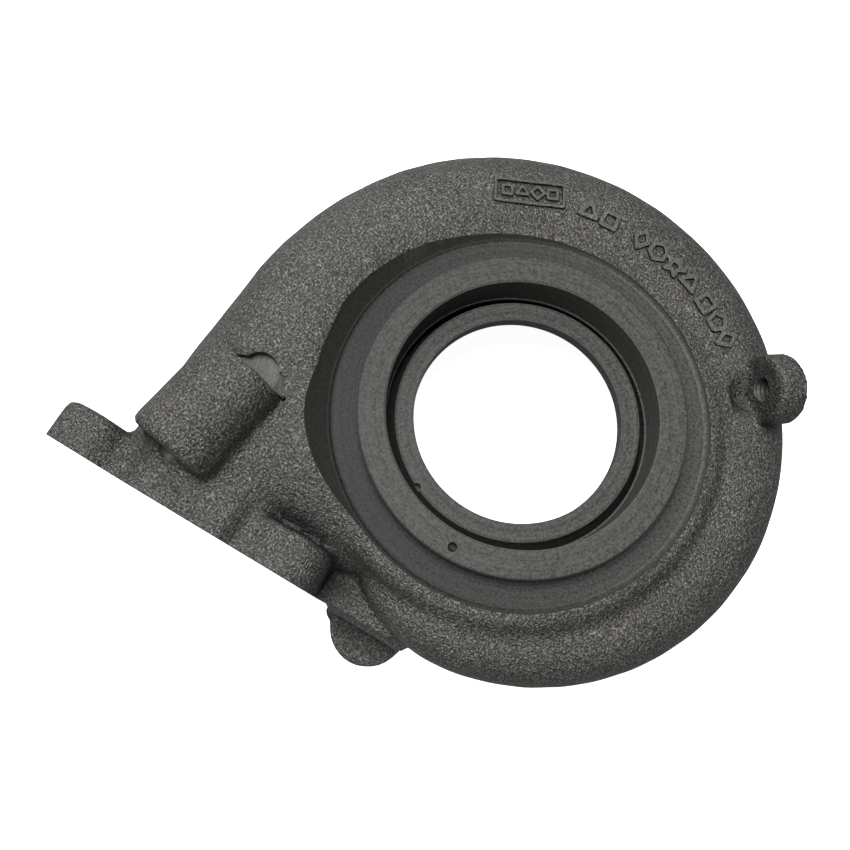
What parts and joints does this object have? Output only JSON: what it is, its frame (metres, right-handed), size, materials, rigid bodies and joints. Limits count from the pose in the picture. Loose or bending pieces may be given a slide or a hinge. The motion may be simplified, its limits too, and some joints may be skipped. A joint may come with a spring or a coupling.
{
  "type": "turbocharger turbine housing",
  "caption": "Cast scroll with a tangential inlet duct and bolt flange, a turned bearing side with a clamp lip, and a flanged, widening outlet.",
  "frame": {"origin": "on the turbine axis at the outlet flange's face, which the housing stands on", "axes": "+Z along the turbine axis, out of the bearing side; the inlet flange faces -Y and lies on the -X side; the scroll runs clockwise seen from +Z"},
  "size_m": [0.1975, 0.175, 0.0777],
  "materials": {
    "cast_iron": "as-cast, dark grey and grainy; turned and milled faces smoother and lighter"
  },
  "bodies": {
    "root": {"turbine_housing": "cast_iron"}
  },
  "joints": []
}
